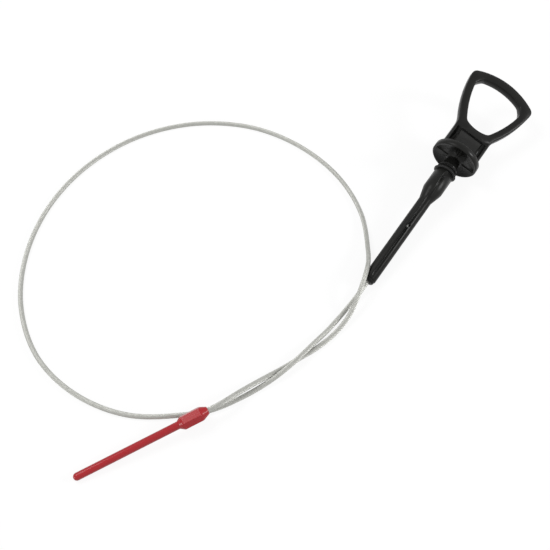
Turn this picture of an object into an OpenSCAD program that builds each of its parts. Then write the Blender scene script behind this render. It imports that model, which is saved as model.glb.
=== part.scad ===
// Flexible engine oil dipstick, lying flat with its cable in one wide loop.
// A moulded finger handle snaps on to a fluted rod, the rod holds a stranded steel cable,
// and the cable ends in a moulded measuring tip.

/* [Tube cap] */
// Outer diameter of the cap
cap_d = 35; // [32:1:44]
// Height of the cap's rim
rim_h = 5; // [4:0.5:7]
// Thickness of the cap's roof
roof_t = 3.9; // [1.6:0.1:4.2]
// Thickness of the rim's wall
rim_t = 1.6; // [1.4:0.1:3]
// Thickness of each rib under the cap
rib_t = 0.6; // [0.5:0.1:2]
// Number of ribs under the cap
rib_count = 4; // [4:1:12]
// Diameter of the hub that the rod enters
hub_d = 12; // [11:0.5:16]
// How far the hub stands out below the rim
hub_drop = 0.4; // [0.2:0.2:3]

/* [Finger bow] */
// From the middle of the cap's rim to the top of the bow
bow_reach = 75.3; // [72:0.1:82]
// Thickness of the bow, front to back
bow_t = 6.8; // [6:0.2:9]
// Width of the bow's side bars
bar_w = 6; // [4.4:0.2:6.8]
// Width of the bow's crown
crown_w = 6.8; // [5:0.2:8]
// Radius of the bow's outer corners
corner_r = 4.7; // [4:0.1:7]
// Radius that rounds the bow's edges
edge_r = 1.4; // [0.8:0.2:2]
// From the middle of the rim to the lower edge of the finger opening
opening_z = 27.6; // [26:0.2:30]

/* [Neck] */
// Width of the neck above the cap
neck_w = 29.3; // [26:0.1:31]
// Width of the raised panel on each face, and of the snap window
panel_w = 18; // [15:1:19]
// Thickness of the neck at the panels
panel_t = 11.6; // [11:0.2:14]
// Height of the snap window
window_h = 3.1; // [2.6:0.1:3.6]
// From the middle of the rim to the window's floor
window_z = 18.2; // [15:0.2:19]
// Width of the pocket on each side of a panel
pocket_w = 3.6; // [2.4:0.2:4]
// Depth of the pockets in the neck's faces
pocket_depth = 1.5; // [0.8:0.1:2]

/* [Rod] */
// From the middle of the cap's rim to the rod's end
rod_reach = 116.2; // [105:0.1:130]
// Diameter of the fluted rod
rod_d = 9.3; // [9:0.1:11]
// Diameter of the barrel that fills the tube's mouth
barrel_d = 14.3; // [13:0.1:16]
// Length of the barrel
barrel_l = 16; // [10:1:18]
// Length of the taper from barrel to rod
taper_l = 10; // [8:0.5:16]
// Diameter of the stem under the cap, at its narrow end
stem_d = 10; // [9.5:0.5:11]
// From the rim to the collar on the stem
stem_l = 7.5; // [6:0.1:10]
// Diameter of the spigot in the handle
spigot_d = 6.6; // [6:0.2:9]
// Depth of the four flutes
flute_depth = 1.5; // [1:0.1:1.7]
// Diameter of the mould-pin hole
pin_hole_d = 3.2; // [2:0.1:3.6]
// Diameter of the rod's nose
nose_d = 8.3; // [6.5:0.1:8.4]
// Length of the nose
nose_l = 2.4; // [1.6:0.2:4]

/* [Seal] */
// Diameter of the seal's lower lip
seal_d = 17; // [15.5:0.25:19]
// Diameter of the seal's upper lip
seal_top_d = 15; // [14:0.25:17]
// Height of the seal
seal_h = 4.7; // [3.6:0.1:5.4]

/* [Cable] */
// Diameter of the cable
cable_d = 3.2; // [2.8:0.1:3.4]
// Length of cable inside the rod
cable_in_rod = 28; // [20:1:29]
// Length of cable inside the tip
cable_in_tip = 18; // [12:1:22]
// Diameter of the terminal swaged on the cable
terminal_d = 4.6; // [4.4:0.1:5]
// Length of the swaged terminal
terminal_l = 34; // [30:1:40]
// Depth of cable in the swaged terminal
terminal_socket = 8; // [6:1:12]

/* [Tip] */
// Length of the measuring tip
tip_l = 88.2; // [75:0.1:110]
// Diameter of the tip's blade
blade_d = 4.9; // [3.6:0.1:5.4]
// Length of the ferrule
ferrule_l = 19.8; // [16:0.1:26]
// Width of the ferrule across its corners
ferrule_d = 9.4; // [7.6:0.2:10.4]

/* [Hidden] */
mould_black = [0.13, 0.13, 0.13];
rubber_black = [0.08, 0.08, 0.08];
steel_grey = [0.62, 0.63, 0.62];
cable_grey = [0.72, 0.72, 0.7];
tip_red = [0.74, 0.12, 0.17];

// Clearances between pieces that were moulded or pushed together
snap_gap = 0.1;
fit_gap = 0.05;
cable_gap = 0.1;

// Arcs of the finger bow: one crown arc and a long arc on each side
crown_r = 50.3;
side_r = 90.6;
side_tilt = 16;
side_x = 23.54;
side_z = 47.5;
neck_fillet = 16;
opening_r = 4.8;
opening_sag_r = 22.2;
panel_round = 1.5;
panel_lip = 0.6;
pocket_over = 0.3;

// Small features of the rod, the cap and the tip
rim_round = 0.6;
collar_h = 1;
stem_flare = 1.2;
collar_over = 1.65;
groove_d = 9.4;
barb_over = 0.6;
barb_h = 1.6;
end_round = 0.4;
nose_round = 1.4;
flute_half_angle = 32;
flute_run_z = 2.5;
flute_run_angle = 22;
flute_end = 8;
dimple_d = 2;
dimple_depth = 0.8;
dimple_in = 7;
pin_hole_in = 4;
flare = 0.6;
lip_t = 0.5;
mouth_taper = 5;
blade_taper = 3.2;

// Heights along the handle's axis, from the middle of the cap's rim
rim_low = -rim_h / 2;
rim_top = rim_h / 2;
roof_low = rim_top - roof_t;
hub_low = rim_low - hub_drop;
stem_low = rim_low - stem_l;
groove_top = stem_low - collar_h;
groove_low = groove_top - seal_h - 2 * fit_gap;
barrel_low = groove_low - barrel_l;
taper_low = barrel_low - taper_l;
terminal_low = cable_in_rod - terminal_socket - rod_reach;
terminal_top = terminal_low + terminal_l;
nose_top = nose_l - rod_reach;
bore_r = cable_d / 2 + cable_gap;
flute_r = rod_d / 2 - flute_depth;

// The rim and the rod's end both touch the ground, so the axis climbs towards the bow
roll = 17;
handle_x = 22.85;
handle_y = 126.7;
rim_touch = rim_low + rim_round;
pitch = atan2((cap_d - rod_d) / 2, rim_touch - nose_top - end_round);
handle_z = cap_d / 2 * cos(pitch) - rim_touch * sin(pitch);

// The tip rests on its round end, and the cable that enters it holds its ferrule up
tip_x = -6.92;
tip_y = -123.5;
tip_z = 9.52;
tip_heading = 62.4;
tip_slope = asin((tip_z - blade_d / 2) / (tip_l - blade_d / 2));
tip_dir = [cos(tip_heading) * cos(tip_slope), sin(tip_heading) * cos(tip_slope), sin(tip_slope)];

// The cable leaves the rod and the tip straight, and the ground holds it up
lead_out = 6;
function along_rod(s) = [handle_x, handle_y + s * cos(pitch), handle_z + s * sin(pitch)];
function along_tip(s) = [tip_x, tip_y, tip_z] - s * tip_dir;

// Points that the middle of the cable passes, from inside the rod to inside the tip
route = [
    along_rod(cable_in_rod - rod_reach),
    along_rod(-rod_reach),
    along_rod(-rod_reach - lead_out),
    [22.5, -8.2, 2.2],
    [21.7, -20.2, 1.7],
    [20.7, -33.2, 2],
    [19, -48.2, 4.3],
    [17, -62.2, 5.1],
    [14.5, -73.2, 4.3],
    [10.3, -85.2, 2.1],
    [2.5, -103.2, 1.6],
    [-7.5, -120.2, 1.6],
    [-22.5, -135.2, 1.6],
    [-46.5, -152.2, 1.6],
    [-80.5, -161.2, 1.6],
    [-118.5, -157.2, 1.6],
    [-154.5, -136.2, 1.6],
    [-181.5, -102.2, 1.6],
    [-195.5, -64.2, 1.6],
    [-197.5, -26.2, 1.6],
    [-184.5, 18.8, 1.6],
    [-157.5, 53.8, 1.6],
    [-117.5, 76.8, 1.6],
    [-77.5, 81.8, 1.6],
    [-36.5, 72.8, 1.6],
    [-10.5, 56.8, 1.9],
    [7.5, 35.8, 5.2],
    [16.5, 21.8, 9.4],
    [21.1, 9.8, 11.4],
    [24.5, -3.2, 8.8],
    [26.7, -17.2, 4.2],
    [25.5, -33.2, 1.6],
    [21.7, -48.2, 1.6],
    [16.5, -61.2, 1.6],
    [12.1, -72.2, 1.7],
    [7.7, -83.2, 3.2],
    [1.3, -101.2, 6.8],
    along_tip(-lead_out),
    along_tip(0),
    along_tip(cable_in_tip)
];
ring_gap = 12.5;
cable_sides = 8;

// Smooth curve through the points: at each one its direction is a mean of the two chords that meet there
function heading(p, i) =
    i == 0 ? (p[1] - p[0]) / norm(p[1] - p[0]) :
    i == len(p) - 1 ? (p[i] - p[i - 1]) / norm(p[i] - p[i - 1]) :
    let (back = norm(p[i] - p[i - 1]), ahead = norm(p[i + 1] - p[i]))
    ((p[i] - p[i - 1]) / back * ahead + (p[i + 1] - p[i]) / ahead * back) / (back + ahead);
function on_curve(p, i, t) =
    let (d = norm(p[i + 1] - p[i]))
    (2 * t * t * t - 3 * t * t + 1) * p[i] + (t * t * t - 2 * t * t + t) * d * heading(p, i)
    + (3 * t * t - 2 * t * t * t) * p[i + 1] + (t * t * t - t * t) * d * heading(p, i + 1);
function held_up(q) = [q[0], q[1], max(q[2], cable_d / 2)];
function centres(p) = [
    for (i = [0:len(p) - 2])
        let (n = max(1, round(norm(p[i + 1] - p[i]) / ring_gap)))
        for (k = [0:n - 1]) held_up(on_curve(p, i, k / n)),
    p[len(p) - 1]
];
function ring(c, i, r, sides) =
    let (
        along = c[min(i + 1, len(c) - 1)] - c[max(i - 1, 0)],
        t = along / norm(along),
        u = [-t[1], t[0], 0] / norm([t[0], t[1]]),
        v = cross(t, u)
    )
    [for (k = [0:sides - 1]) c[i] + r * (cos(360 * k / sides) * u + sin(360 * k / sides) * v)];

// Solid swept along a row of centres and closed at both ends
module tube(c, r, sides) {
    rings = len(c);
    start_cap = [for (k = [0:sides - 1]) k];
    end_cap = [for (k = [sides - 1:-1:0]) (rings - 1) * sides + k];
    walls = [
        for (i = [0:rings - 2]) for (k = [0:sides - 1])
            let (a = i * sides + k, b = i * sides + (k + 1) % sides)
            each [[a, a + sides, b + sides], [a, b + sides, b]]
    ];
    polyhedron([for (i = [0:rings - 1]) each ring(c, i, r, sides)], concat([start_cap, end_cap], walls));
}

// Lays a piece that was drawn upright along the handle's axis down on the ground
module lay_down() {
    translate([handle_x, handle_y, handle_z]) rotate([pitch - 90, 0, 0]) rotate([0, 0, roll]) children();
}

// Lays a piece that was drawn upright with the ferrule's mouth at the origin down on the ground
module lay_tip() {
    translate([tip_x, tip_y, tip_z]) rotate([0, 90 - tip_slope, tip_heading]) children();
}

// Rounded triangle of the bow from the front, with its crown and its sides moved in
module bow_arcs(crown_in, side_in) {
    intersection() {
        translate([0, bow_reach - crown_r]) circle(r = crown_r - crown_in, $fn = 72);
        translate([side_x - side_r * cos(side_tilt), side_z + side_r * sin(side_tilt)])
            circle(r = side_r - side_in, $fn = 100);
        translate([side_r * cos(side_tilt) - side_x, side_z + side_r * sin(side_tilt)])
            circle(r = side_r - side_in, $fn = 100);
    }
}

module bow_outline() {
    offset(r = -neck_fillet, $fn = 48) offset(delta = neck_fillet) {
        offset(r = corner_r, $fn = 24) offset(delta = -corner_r) bow_arcs(0, 0);
        translate([-neck_w / 2, roof_low]) square([neck_w, opening_z - roof_low]);
    }
}

module bow_opening() {
    offset(r = opening_r, $fn = 24) offset(delta = -opening_r) intersection() {
        bow_arcs(crown_w, bar_w);
        translate([0, opening_z + opening_sag_r]) circle(r = opening_sag_r, $fn = 60);
    }
}

// Bow and neck with rounded edges, drawn flat and stood up along the axis
module bow() {
    rotate([90, 0, 0]) minkowski() {
        translate([0, 0, edge_r - bow_t / 2]) linear_extrude(bow_t - 2 * edge_r)
            offset(delta = -edge_r) difference() {
                intersection() {
                    bow_outline();
                    translate([-bow_reach, (roof_low + rim_top) / 2]) square(2 * bow_reach);
                }
                bow_opening();
            }
        sphere(r = edge_r, $fn = 12);
    }
}

// Raised panels on both faces in one block, with a small lip where each one meets the window
module panel() {
    w = panel_w - 2 * panel_round;
    t = panel_t - 2 * panel_round;
    face = panel_t / 2;
    intersection() {
        translate([0, 0, roof_low]) linear_extrude(window_z - roof_low) {
            square([w, panel_t], center = true);
            square([panel_w, t], center = true);
            for (x = [-w / 2, w / 2]) for (y = [-t / 2, t / 2]) translate([x, y]) circle(panel_round, $fn = 32);
        }
        rotate([90, 0, 90]) linear_extrude(2 * panel_w, center = true) polygon([
            [-face - 1, roof_low - 1], [face + 1, roof_low - 1], [face + 1, window_z - panel_lip - 1],
            [face - panel_lip, window_z], [panel_lip - face, window_z], [-face - 1, window_z - panel_lip - 1]
        ]);
    }
}

// Pockets on both sides of the panels, which leave the neck's edges as two flanges
module pockets() {
    low = rim_top + pocket_over;
    high = window_z + window_h + pocket_over;
    floor_y = bow_t / 2 - pocket_depth;
    for (x = [-panel_w / 2 - pocket_w - fit_gap, panel_w / 2 + fit_gap]) for (y = [floor_y, -floor_y - panel_t])
        translate([x, y, low]) cube([pocket_w, panel_t, high - low]);
}

module cap() {
    cap_r = cap_d / 2;
    rotate_extrude($fn = 128) {
        polygon([
            [0, roof_low], [cap_r - rim_t, roof_low], [cap_r - rim_t, rim_low], [cap_r - rim_round, rim_low],
            [cap_r, rim_touch], [cap_r, rim_top - rim_round], [cap_r - rim_round, rim_top], [0, rim_top]
        ]);
        translate([0, hub_low]) square([hub_d / 2, roof_low + roof_t / 2 - hub_low]);
    }
    for (i = [0:rib_count - 1]) rotate([0, 0, i * 360 / rib_count])
        translate([hub_d / 2 - rib_t, -rib_t / 2, rim_low + rim_round])
            cube([cap_r - rim_t / 2 - hub_d / 2 + rib_t, rib_t, roof_low - rim_low]);
}

module handle() color(mould_black) lay_down() difference() {
    union() {
        bow();
        panel();
        cap();
    }
    translate([0, 0, hub_low - 1]) cylinder(r = spigot_d / 2 + fit_gap, h = window_z - hub_low + 2, $fn = 64);
    translate([-panel_w / 2, -panel_t, window_z]) cube([panel_w, 2 * panel_t, window_h]);
    pockets();
}

// One flute: straight along the rod, running out in the barrel's taper and before the nose
module flute() {
    reach = barrel_d;
    half = reach * tan(flute_half_angle);
    vee = [[0, 0], [reach, half], [reach, -half]];
    high = taper_low + flute_run_z;
    low = flute_end - rod_reach;
    translate([flute_r, 0, low]) linear_extrude(high - low) polygon(vee);
    translate([flute_r, 0, high]) rotate([0, flute_run_angle, 0]) linear_extrude(rod_reach) polygon(vee);
    translate([flute_r, 0, low]) rotate([0, 180 - flute_run_angle, 0]) linear_extrude(rod_reach) mirror([1, 0])
        polygon(vee);
}

module rod() color(mould_black) lay_down() difference() {
    rotate_extrude($fn = 128) polygon(concat(
        [
            [0, window_z + snap_gap + barb_h],
            [spigot_d / 2 - barb_over, window_z + snap_gap + barb_h],
            [spigot_d / 2 + barb_over, window_z + snap_gap + barb_over],
            [spigot_d / 2 + barb_over, window_z + snap_gap],
            [spigot_d / 2, window_z + snap_gap],
            [spigot_d / 2, hub_low],
            [stem_d / 2, hub_low],
            [stem_d / 2 + stem_flare, stem_low],
            [stem_d / 2 + collar_over, stem_low],
            [stem_d / 2 + collar_over, groove_top],
            [groove_d / 2, groove_top],
            [groove_d / 2, groove_low],
            [barrel_d / 2 - rim_round, groove_low],
            [barrel_d / 2, groove_low - rim_round],
            [barrel_d / 2, barrel_low],
            [rod_d / 2, taper_low]
        ],
        [for (a = [0:15:90]) [rod_d / 2 - end_round + end_round * cos(a), nose_top + end_round - end_round * sin(a)]],
        [for (a = [0:15:90]) [nose_d / 2 - nose_round + nose_round * cos(a), nose_round - rod_reach - nose_round * sin(a)]],
        [[0, -rod_reach]]
    ));
    for (side = [0:3]) rotate([0, 0, side * 90]) flute();
    translate([0, 0, groove_low - dimple_in]) rotate([90, 0, 0]) translate([0, 0, barrel_d / 2 - dimple_depth])
        cylinder(r = dimple_d / 2, h = barrel_d, $fn = 32);
    translate([0, 0, -rod_reach - 1]) cylinder(r = bore_r, h = rod_reach + 2 + terminal_low, $fn = 48);
    translate([0, 0, -rod_reach]) cylinder(r1 = bore_r + flare, r2 = bore_r, h = flare, $fn = 48);
    translate([0, 0, terminal_low - fit_gap])
        cylinder(r = terminal_d / 2 + fit_gap, h = terminal_l + 2 * fit_gap, $fn = 48);
    translate([0, 0, terminal_top - pin_hole_in]) rotate([90, 0, 0]) cylinder(r = pin_hole_d / 2, h = rod_d, $fn = 32);
}

module seal() color(rubber_black) lay_down() rotate_extrude($fn = 128) {
    low = groove_low + fit_gap;
    top = groove_top - fit_gap;
    inside = groove_d / 2 + fit_gap;
    root = seal_top_d / 2 - 2 * lip_t;
    polygon([
        [inside, low], [seal_d / 2 - 2 * lip_t, low], [seal_d / 2, low + lip_t], [seal_d / 2, low + 1.5 * lip_t],
        [root, top - 3 * lip_t], [seal_top_d / 2, top - 2.5 * lip_t], [seal_top_d / 2, top - 2 * lip_t],
        [root, top], [inside, top]
    ]);
}

module cable_terminal() color(steel_grey) lay_down() difference() {
    translate([0, 0, terminal_low]) cylinder(r = terminal_d / 2, h = terminal_l, $fn = 48);
    translate([0, 0, terminal_low - 1]) cylinder(r = cable_d / 2 + fit_gap, h = terminal_socket + fit_gap + 1, $fn = 48);
}

module cable() color(cable_grey) tube(centres(route), cable_d / 2, cable_sides);

module tip() color(tip_red) lay_tip() difference() {
    union() {
        intersection() {
            translate([0, 0, -ferrule_l]) rotate([0, 0, 30]) cylinder(r = ferrule_d / 2, h = ferrule_l, $fn = 6);
            rotate_extrude($fn = 96) polygon([
                [0, 0], [bore_r + flare, 0], [ferrule_d / 2, -mouth_taper],
                [ferrule_d / 2, blade_taper - ferrule_l], [blade_d / 2, -ferrule_l], [0, -ferrule_l]
            ]);
        }
        translate([0, 0, blade_d / 2 - tip_l]) cylinder(r = blade_d / 2, h = tip_l - ferrule_l, $fn = 64);
        translate([0, 0, blade_d / 2 - tip_l]) sphere(r = blade_d / 2, $fn = 64);
    }
    translate([0, 0, -cable_in_tip - fit_gap]) cylinder(r = bore_r, h = cable_in_tip + 1, $fn = 48);
}

handle();
rod();
seal();
cable_terminal();
cable();
tip();
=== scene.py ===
# Flexible engine oil dipstick lying on a pale floor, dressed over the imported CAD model.
import math

import bpy
import numpy as np
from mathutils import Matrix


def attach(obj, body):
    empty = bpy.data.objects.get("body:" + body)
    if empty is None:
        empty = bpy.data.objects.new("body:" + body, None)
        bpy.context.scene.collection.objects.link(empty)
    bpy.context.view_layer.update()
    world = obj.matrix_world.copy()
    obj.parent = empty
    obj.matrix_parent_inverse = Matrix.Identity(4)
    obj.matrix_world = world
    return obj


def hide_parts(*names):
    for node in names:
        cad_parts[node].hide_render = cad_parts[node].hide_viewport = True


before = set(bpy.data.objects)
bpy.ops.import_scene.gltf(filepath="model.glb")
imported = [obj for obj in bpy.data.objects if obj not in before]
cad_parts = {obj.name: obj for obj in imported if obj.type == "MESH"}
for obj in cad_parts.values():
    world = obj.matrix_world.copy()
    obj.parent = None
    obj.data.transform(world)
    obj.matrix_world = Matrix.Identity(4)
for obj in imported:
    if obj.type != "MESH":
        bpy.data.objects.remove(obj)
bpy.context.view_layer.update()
scene = bpy.context.scene
mm = 0.001


# Camera, at the photograph's angle: it looks down 60 degrees from the cable's side
camera = {
    "target": (-0.0320, -0.0182, 0.0),
    "azimuth": 35.5,
    "elevation": 60.0,
    "distance": 0.551,
    "focalPixels": 811.0,
    "imagePixels": 550.0,
    "sensor": 36.0,
    "nearest": 0.01,
}


def makeCamera(c):
    az, el = math.radians(c["azimuth"]), math.radians(c["elevation"])
    back = np.array([math.sin(az) * math.cos(el), -math.cos(az) * math.cos(el), math.sin(el)])
    data = bpy.data.cameras.new("camera")
    data.sensor_width = c["sensor"]
    data.lens = c["focalPixels"] / c["imagePixels"] * c["sensor"]
    data.clip_start = c["nearest"]
    eye = bpy.data.objects.new("camera", data)
    eye.location = np.array(c["target"]) + c["distance"] * back
    eye.rotation_euler = (math.pi / 2 - el, 0, az)
    scene.collection.objects.link(eye)
    scene.camera = eye


makeCamera(camera)
print("camera placed")


# Helpers for meshes, colours and materials
def linear(hexText):
    channels = [int(hexText[i:i + 2], 16) / 255 for i in (1, 3, 5)]
    return [c / 12.92 if c <= 0.04045 else ((c + 0.055) / 1.055) ** 2.4 for c in channels] + [1.0]


def add(tree, kind, inputs=None, **settings):
    # Adds a node with its settings; an input that is a socket is linked, any other is set
    node = tree.nodes.new(kind)
    for name, value in settings.items():
        setattr(node, name, value)
    for name, value in (inputs or {}).items():
        if isinstance(value, bpy.types.NodeSocket):
            tree.links.new(value, node.inputs[name])
        else:
            node.inputs[name].default_value = value
    return node


def newMaterial(name):
    material = bpy.data.materials.new(name)
    material.use_nodes = True
    material.node_tree.nodes.clear()
    return material, material.node_tree


def dress(piece, material):
    piece.data.materials.clear()
    piece.data.materials.append(material)


def tubeMesh(name, grid):
    # Closed tube from rows of points: each row is a ring, and a point in its middle closes each end
    rows, cols = grid.shape[:2]
    k = np.arange(cols)
    ahead = (k + 1) % cols
    base = np.arange(rows - 1)[:, None] * cols
    quads = np.stack([base + k, base + ahead, base + ahead + cols, base + k + cols], -1).reshape(-1, 4)
    last = (rows - 1) * cols
    startFan = np.stack([ahead, k, np.full(cols, rows * cols)], -1)
    endFan = np.stack([last + k, last + ahead, np.full(cols, rows * cols + 1)], -1)
    points = np.concatenate([grid.reshape(-1, 3), [grid[0].mean(0), grid[-1].mean(0)]])
    mesh = bpy.data.meshes.new(name)
    mesh.from_pydata(points.tolist(), [], quads.tolist() + startFan.tolist() + endFan.tolist())
    mesh.polygons.foreach_set("use_smooth", [True] * len(mesh.polygons))
    piece = bpy.data.objects.new(name, mesh)
    scene.collection.objects.link(piece)
    return piece


# How the object lies, from the CAD source's own sizes in millimetres and degrees
lying = {
    "handleX": 22.85,
    "handleY": 126.7,
    "capDiameter": 35.0,
    "rimHeight": 5.0,
    "rimRound": 0.6,
    "rodDiameter": 9.3,
    "rodReach": 116.2,
    "noseLength": 2.4,
    "noseEnd": 0.4,
    "tipX": -6.92,
    "tipY": -123.5,
    "tipZ": 9.52,
    "tipHeading": 62.4,
    "tipLength": 88.2,
    "bladeDiameter": 4.9,
    "cableInRod": 28.0,
    "cableInTip": 18.0,
    "leadOut": 6.0,  # length of cable that leaves the rod and the tip straight
}


def rodLine(c):
    # The rod's axis, as a point and a direction. The cap's rim and the rod's end both touch the ground,
    # so it climbs towards the bow
    rimTouch = c["rimRound"] - c["rimHeight"] / 2
    noseTop = c["noseLength"] - c["rodReach"]
    pitch = math.atan2((c["capDiameter"] - c["rodDiameter"]) / 2, rimTouch - noseTop - c["noseEnd"])
    height = c["capDiameter"] / 2 * math.cos(pitch) - rimTouch * math.sin(pitch)
    return np.array([c["handleX"], c["handleY"], height]), np.array([0, math.cos(pitch), math.sin(pitch)])


def tipLine(c):
    # The tip's axis, as a point and a direction. The tip rests on its round end, and the cable that
    # enters it holds its ferrule up
    end = c["bladeDiameter"] / 2
    slope = math.asin((c["tipZ"] - end) / (c["tipLength"] - end))
    heading = math.radians(c["tipHeading"])
    way = [math.cos(heading) * math.cos(slope), math.sin(heading) * math.cos(slope), math.sin(slope)]
    return np.array([c["tipX"], c["tipY"], c["tipZ"]]), np.array(way)


rodAt, rodWay = rodLine(lying)
tipAt, tipWay = tipLine(lying)
rodEnd = rodAt - lying["rodReach"] * rodWay

# Points that the middle of the cable passes, from inside the rod to inside the tip
route = np.array([
    rodEnd + lying["cableInRod"] * rodWay, rodEnd, rodEnd - lying["leadOut"] * rodWay,
    [22.5, -8.2, 2.2], [21.7, -20.2, 1.7], [20.7, -33.2, 2], [19, -48.2, 4.3], [17, -62.2, 5.1],
    [14.5, -73.2, 4.3], [10.3, -85.2, 2.1], [2.5, -103.2, 1.6], [-7.5, -120.2, 1.6],
    [-22.5, -135.2, 1.6], [-46.5, -152.2, 1.6], [-80.5, -161.2, 1.6], [-118.5, -157.2, 1.6],
    [-154.5, -136.2, 1.6], [-181.5, -102.2, 1.6], [-195.5, -64.2, 1.6], [-197.5, -26.2, 1.6],
    [-184.5, 18.8, 1.6], [-157.5, 53.8, 1.6], [-117.5, 76.8, 1.6], [-77.5, 81.8, 1.6],
    [-36.5, 72.8, 1.6], [-10.5, 56.8, 1.9], [7.5, 35.8, 5.2], [16.5, 21.8, 9.4],
    [21.1, 9.8, 11.4], [24.5, -3.2, 8.8], [26.7, -17.2, 4.2], [25.5, -33.2, 1.6],
    [21.7, -48.2, 1.6], [16.5, -61.2, 1.6], [12.1, -72.2, 1.7], [7.7, -83.2, 3.2],
    [1.3, -101.2, 6.8],
    tipAt + lying["leadOut"] * tipWay, tipAt, tipAt - lying["cableInTip"] * tipWay,
]) * mm

# Cable: it runs as the CAD cable does, with its twisted outer wires
cable = {
    "diameter": 3.2 * mm,
    "wires": 12,  # outer wires, drawn coarse enough to show
    "pointsPerWire": 5,
    "lay": 26 * mm,  # length in which a wire goes once round
    "ringGap": 0.85 * mm,  # between two rings of points along the cable
    "exit": (0.02285, 0.01126, 0.0043),  # where it leaves the rod
    "length": 0.924,
}


def smoothLine(points, gap, lowest):
    # Cubic through the points; each direction is the mean of the two chords, the shorter one first
    chord = np.diff(points, axis=0)
    size = np.linalg.norm(chord, axis=1, keepdims=True)
    unit = chord / size
    inner = (unit[:-1] * size[1:] + unit[1:] * size[:-1]) / (size[1:] + size[:-1])
    way = np.concatenate([unit[:1], inner, unit[-1:]])
    line = []
    for a, b, wa, wb, d in zip(points[:-1], points[1:], way[:-1], way[1:], size[:, 0]):
        n = max(1, round(d / gap))
        t = (np.arange(n) / n)[:, None]
        line.append((2 * t**3 - 3 * t**2 + 1) * a + (t**3 - 2 * t**2 + t) * d * wa
                    + (3 * t**2 - 2 * t**3) * b + (t**3 - t**2) * d * wb)
    line = np.concatenate(line + [points[-1:]])
    line[:, 2] = np.maximum(line[:, 2], lowest)
    return line


def makeCable(c):
    # Outer wires as circles that touch: the outline's radius is a cos(p) + sqrt(w^2 - a^2 sin(p)^2),
    # with a the circle of the wires' middles, w a wire's radius and p the angle from its middle
    line = smoothLine(route, c["ringGap"], c["diameter"] / 2)
    along = np.gradient(line, axis=0)
    along /= np.linalg.norm(along, axis=1, keepdims=True)
    side = np.stack([-along[:, 1], along[:, 0], np.zeros(len(line))], -1)
    side /= np.linalg.norm(side, axis=1, keepdims=True)
    up = np.cross(along, side)
    far = np.concatenate([[0], np.cumsum(np.linalg.norm(np.diff(line, axis=0), axis=1))])
    half = math.pi / c["wires"]
    k = np.arange(c["wires"] * c["pointsPerWire"])
    fromMiddle = ((k % c["pointsPerWire"]) / c["pointsPerWire"] * 2 - 1) * half
    wireR = c["diameter"] / 2 * math.sin(half) / (1 + math.sin(half))
    middleR = c["diameter"] / 2 - wireR
    inside = np.maximum(wireR**2 - (middleR * np.sin(fromMiddle))**2, 0)
    outline = middleR * np.cos(fromMiddle) + np.sqrt(inside)
    turn = k / len(k) * 2 * math.pi + far[:, None] / c["lay"] * 2 * math.pi
    grid = (line[:, None] + (outline * np.cos(turn))[..., None] * side[:, None]
            + (outline * np.sin(turn))[..., None] * up[:, None])
    piece = tubeMesh("stranded_cable", grid)
    # Depth between the wires, from 0 at a wire's top to 1, kept as the mask for the strand material's
    # painted shade
    grooveShade = np.tile(1 - np.sqrt(inside) / wireR, len(line))
    mark = piece.data.attributes.new("grooveShade", "FLOAT", "POINT")
    mark.data.foreach_set("value", np.concatenate([grooveShade, [1, 1]]).astype(np.float32))
    print("cable", round(far[-1], 4), "m,", len(piece.data.polygons), "faces")
    return piece, line


strandedCable, cableLine = makeCable(cable)
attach(strandedCable, "root")
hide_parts("cable")


# Smooth copies of the CAD pieces: their own faces, merged, with round faces shaded as round.
# An edge that turns by more than its piece's crease, in degrees, stays sharp
creases = {"handle": 32, "rod": 28, "seal": 28, "tip": 18}
mergeGap = 0.002 * mm


def smoothCopy(node, name):
    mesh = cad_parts[node].data.copy()
    mesh.name = name
    piece = bpy.data.objects.new(name, mesh)
    scene.collection.objects.link(piece)
    merge = piece.modifiers.new("merge", "WELD")
    merge.merge_threshold = mergeGap
    bpy.context.view_layer.objects.active = piece
    bpy.ops.object.modifier_apply(modifier=merge.name)
    piece.data.polygons.foreach_set("use_smooth", [True] * len(piece.data.polygons))
    piece.data.set_sharp_from_angle(angle=math.radians(creases[node]))
    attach(piece, "root")
    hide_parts(node)
    return piece


handlePiece = smoothCopy("handle", "finger_handle")
rodPiece = smoothCopy("rod", "fluted_rod")
sealPiece = smoothCopy("seal", "seal_ring")
tipPiece = smoothCopy("tip", "measuring_tip")
print("moulded pieces made")


# Materials. Colours are sRGB hex values, and patterns are sized in millimetres of the real surface
blackPlastic = {
    "colour": "#141413",
    "dusty": "#1f1f1d",
    "flow": 9 * mm,  # width of the slow changes where the melt met
    "flowRange": (0.3, 0.7),  # part of the noise that the gloss follows
    "grain": 0.35 * mm,  # coarser than the tool's real grain, so that it shows
    "grainDepth": 0.02 * mm,
    "grainStrength": 0.35,
    "roughness": (0.25, 0.37),
    "ior": 1.5,
    "specular": 0.16,
}


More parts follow.
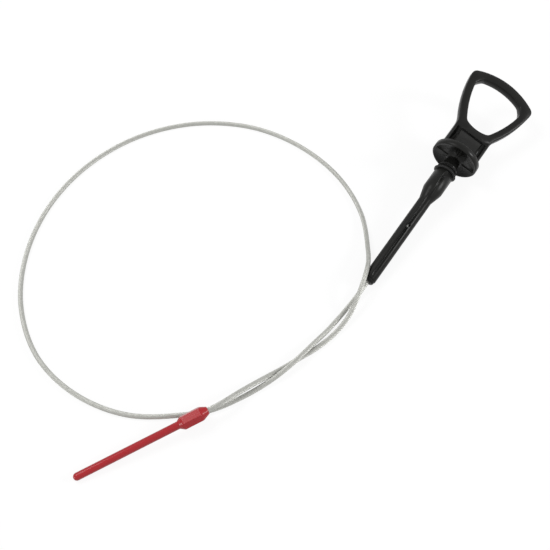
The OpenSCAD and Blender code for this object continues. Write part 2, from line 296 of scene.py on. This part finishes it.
def glassFilledPolyamide(c):
    # Black glass-filled polyamide, injection moulded in a spark-eroded tool: satin, with a fine grain
    # and slow changes of gloss where the melt met
    material, tree = newMaterial("moulded black polyamide")
    place = add(tree, "ShaderNodeTexCoord").outputs["Object"]
    flow = add(tree, "ShaderNodeTexNoise", {"Vector": place, "Scale": 1 / c["flow"], "Detail": 3.0})
    grain = add(tree, "ShaderNodeTexNoise", {"Vector": place, "Scale": 1 / c["grain"], "Detail": 2.0})
    colour = add(tree, "ShaderNodeMix", {"Factor": flow.outputs["Fac"], "A": linear(c["colour"]),
                                         "B": linear(c["dusty"])}, data_type="RGBA")
    gloss = add(tree, "ShaderNodeMapRange", {
        "Value": flow.outputs["Fac"], "From Min": c["flowRange"][0], "From Max": c["flowRange"][1],
        "To Min": c["roughness"][0], "To Max": c["roughness"][1]})
    bump = add(tree, "ShaderNodeBump", {"Height": grain.outputs["Fac"], "Strength": c["grainStrength"],
                                        "Distance": c["grainDepth"]})
    shader = add(tree, "ShaderNodeBsdfPrincipled", {
        "Base Color": colour.outputs["Result"], "Roughness": gloss.outputs["Result"],
        "Normal": bump.outputs["Normal"], "IOR": c["ior"], "Specular IOR Level": c["specular"]})
    add(tree, "ShaderNodeOutputMaterial", {"Surface": shader.outputs["BSDF"]})
    return material


sealRubber = {
    "colour": "#101010",
    "bloomed": "#1c1c1b",
    "bloom": 3 * mm,  # width of the paler patches
    "bloomDepth": 0.05 * mm,
    "bloomStrength": 0.3,
    "roughness": 0.55,
    "ior": 1.52,
    "specular": 0.35,
}


def nitrileRubber(c):
    # Black nitrile rubber, compression moulded: darker and duller than the plastic beside it
    material, tree = newMaterial("moulded nitrile rubber")
    place = add(tree, "ShaderNodeTexCoord").outputs["Object"]
    bloom = add(tree, "ShaderNodeTexNoise", {"Vector": place, "Scale": 1 / c["bloom"], "Detail": 4.0})
    colour = add(tree, "ShaderNodeMix", {"Factor": bloom.outputs["Fac"], "A": linear(c["colour"]),
                                         "B": linear(c["bloomed"])}, data_type="RGBA")
    bump = add(tree, "ShaderNodeBump", {"Height": bloom.outputs["Fac"], "Strength": c["bloomStrength"],
                                        "Distance": c["bloomDepth"]})
    shader = add(tree, "ShaderNodeBsdfPrincipled", {
        "Base Color": colour.outputs["Result"], "Roughness": c["roughness"],
        "Normal": bump.outputs["Normal"], "IOR": c["ior"], "Specular IOR Level": c["specular"]})
    add(tree, "ShaderNodeOutputMaterial", {"Surface": shader.outputs["BSDF"]})
    return material


strandSteel = {
    "dull": "#b0b1ab",
    "bright": "#cbcbc6",
    # Dark colour painted between the wires as shade
    "grooveShade": "#6e6e69",
    "grooveShadeFrom": 0.35,  # depth at which a groove begins to darken, from 0 at a wire's top to 1
    "grooveShadeShare": 0.4,  # how far the deepest part takes the groove's colour
    "spangle": 2.5 * mm,  # width of the patches in the zinc
    "metallic": 0.5,
    "roughness": 0.4,
}


def galvanisedStrand(c):
    # Zinc-coated steel wire, drawn and stranded: pale grey with a soft shine, and painted shade that darkens
    # the gaps between the wires
    material, tree = newMaterial("galvanised steel strand")
    place = add(tree, "ShaderNodeTexCoord").outputs["Object"]
    grooveShade = add(tree, "ShaderNodeAttribute", attribute_name="grooveShade", attribute_type="GEOMETRY")
    spangle = add(tree, "ShaderNodeTexNoise", {"Vector": place, "Scale": 1 / c["spangle"], "Detail": 3.0})
    wire = add(tree, "ShaderNodeMix", {"Factor": spangle.outputs["Fac"], "A": linear(c["dull"]),
                                       "B": linear(c["bright"])}, data_type="RGBA")
    # Painted shade: the deeper a point lies between the wires, the more of the dark groove colour it takes
    deep = add(tree, "ShaderNodeMapRange", {
        "Value": grooveShade.outputs["Fac"], "From Min": c["grooveShadeFrom"], "From Max": 1.0,
        "To Min": 0.0, "To Max": c["grooveShadeShare"]})
    colour = add(tree, "ShaderNodeMix", {"Factor": deep.outputs["Result"], "A": wire.outputs["Result"],
                                         "B": linear(c["grooveShade"])}, data_type="RGBA")
    shader = add(tree, "ShaderNodeBsdfPrincipled", {
        "Base Color": colour.outputs["Result"], "Metallic": c["metallic"], "Roughness": c["roughness"]})
    add(tree, "ShaderNodeOutputMaterial", {"Surface": shader.outputs["BSDF"]})
    return material


terminalSteel = {
    "colour": "#8d8e8b",
    "marks": 0.6 * mm,  # width of the die's marks
    "roughness": (0.28, 0.5),
}


def swagedSteel(c):
    # Plain steel, swaged in a die: mid grey, with small changes of gloss where the die pressed
    material, tree = newMaterial("swaged steel")
    place = add(tree, "ShaderNodeTexCoord").outputs["Object"]
    marks = add(tree, "ShaderNodeTexNoise", {"Vector": place, "Scale": 1 / c["marks"], "Detail": 2.0})
    gloss = add(tree, "ShaderNodeMapRange", {
        "Value": marks.outputs["Fac"], "To Min": c["roughness"][0], "To Max": c["roughness"][1]})
    shader = add(tree, "ShaderNodeBsdfPrincipled", {
        "Base Color": linear(c["colour"]), "Metallic": 1.0, "Roughness": gloss.outputs["Result"]})
    add(tree, "ShaderNodeOutputMaterial", {"Surface": shader.outputs["BSDF"]})
    return material


redNylon = {
    "deep": "#b40e18",
    "pale": "#c01a26",
    "flow": 6 * mm,  # width of the slow changes of tone
    "flowDepth": 0.04 * mm,
    "flowStrength": 0.05,
    "roughness": 0.24,
    "ior": 1.53,
    "specular": 0.4,
}


def mouldedRedNylon(c):
    # Red nylon, injection moulded in a polished tool: deep crimson with a clear shine along its length
    material, tree = newMaterial("moulded red nylon")
    place = add(tree, "ShaderNodeTexCoord").outputs["Object"]
    flow = add(tree, "ShaderNodeTexNoise", {"Vector": place, "Scale": 1 / c["flow"], "Detail": 3.0})
    colour = add(tree, "ShaderNodeMix", {"Factor": flow.outputs["Fac"], "A": linear(c["deep"]),
                                         "B": linear(c["pale"])}, data_type="RGBA")
    bump = add(tree, "ShaderNodeBump", {"Height": flow.outputs["Fac"], "Strength": c["flowStrength"],
                                        "Distance": c["flowDepth"]})
    shader = add(tree, "ShaderNodeBsdfPrincipled", {
        "Base Color": colour.outputs["Result"], "Roughness": c["roughness"],
        "Normal": bump.outputs["Normal"], "IOR": c["ior"], "Specular IOR Level": c["specular"]})
    add(tree, "ShaderNodeOutputMaterial", {"Surface": shader.outputs["BSDF"]})
    return material


polyamide = glassFilledPolyamide(blackPlastic)
dress(handlePiece, polyamide)
dress(rodPiece, polyamide)
dress(sealPiece, nitrileRubber(sealRubber))
dress(strandedCable, galvanisedStrand(strandSteel))
dress(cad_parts["cable_terminal"], swagedSteel(terminalSteel))
dress(tipPiece, mouldedRedNylon(redNylon))
print("materials made")


# Floor, lamps and world: plain soft studio light on a white ground
studio = {
    "worldLight": 0.4,
    "floorGlow": 0.88,  # of the floor that is seen: the lamps bring it to white, outside the shadow
    "floorColour": 0.16,
    "floorBounce": 0.4,  # grey of the floor for the light that it throws on the object
    "floorHalf": 4.0,
    "lamps": [
        {"name": "key", "at": (0.80, 0.50, 0.50), "size": 0.25, "watts": 4.2},
        {"name": "left", "at": (-0.57, -0.09, 0.84), "size": 0.35, "watts": 2.8},
        {"name": "front", "at": (-0.30, -0.90, 0.20), "size": 0.25, "watts": 1.2},
    ],
}


def whiteRays(tree):
    # 1 for the rays that show the background: seen straight, in a reflection or through glass
    path = add(tree, "ShaderNodeLightPath")
    glossy = add(tree, "ShaderNodeMath", {
        0: path.outputs["Is Camera Ray"], 1: path.outputs["Is Glossy Ray"]}, operation="ADD", use_clamp=True)
    both = add(tree, "ShaderNodeMath", {
        0: glossy.outputs[0], 1: path.outputs["Is Transmission Ray"]}, operation="ADD", use_clamp=True)
    return both.outputs[0]


def makeFloor(s):
    material, tree = newMaterial("white studio floor")
    matt = add(tree, "ShaderNodeBsdfDiffuse", {"Color": [s["floorBounce"]] * 3 + [1]})
    pale = add(tree, "ShaderNodeBsdfDiffuse", {"Color": [s["floorColour"]] * 3 + [1]})
    glow = add(tree, "ShaderNodeEmission", {"Color": [1, 1, 1, 1], "Strength": s["floorGlow"]})
    shown = add(tree, "ShaderNodeAddShader", {0: pale.outputs[0], 1: glow.outputs[0]})
    mix = add(tree, "ShaderNodeMixShader", {0: whiteRays(tree), 1: matt.outputs[0], 2: shown.outputs[0]})
    add(tree, "ShaderNodeOutputMaterial", {"Surface": mix.outputs[0]})
    mesh = bpy.data.meshes.new("floor")
    r = s["floorHalf"]
    mesh.from_pydata([(-r, -r, 0), (r, -r, 0), (r, r, 0), (-r, r, 0)], [], [(0, 1, 2, 3)])
    floor = bpy.data.objects.new("floor", mesh)
    scene.collection.objects.link(floor)
    dress(floor, material)


def makeLamps(lamps):
    for c in lamps:
        data = bpy.data.lights.new(c["name"], "AREA")
        data.size = c["size"]
        data.energy = c["watts"]
        lamp = bpy.data.objects.new(c["name"], data)
        lamp.location = c["at"]
        aim = np.array(camera["target"]) - np.array(c["at"])
        flat = math.hypot(aim[0], aim[1])
        lamp.rotation_euler = (math.atan2(flat, -aim[2]), 0, math.atan2(-aim[0], aim[1]))
        scene.collection.objects.link(lamp)


def makeWorld(s):
    world = bpy.data.worlds.new("studio")
    world.use_nodes = True
    tree = world.node_tree
    tree.nodes.clear()
    lit = add(tree, "ShaderNodeBackground", {"Color": [1, 1, 1, 1], "Strength": s["worldLight"]})
    white = add(tree, "ShaderNodeBackground", {"Color": [1, 1, 1, 1], "Strength": 1.0})
    mix = add(tree, "ShaderNodeMixShader", {0: whiteRays(tree), 1: lit.outputs[0], 2: white.outputs[0]})
    add(tree, "ShaderNodeOutputWorld", {"Surface": mix.outputs[0]})
    scene.world = world


makeFloor(studio)
makeLamps(studio["lamps"])
makeWorld(studio)
scene.view_settings.view_transform = "Standard"
print("studio made")
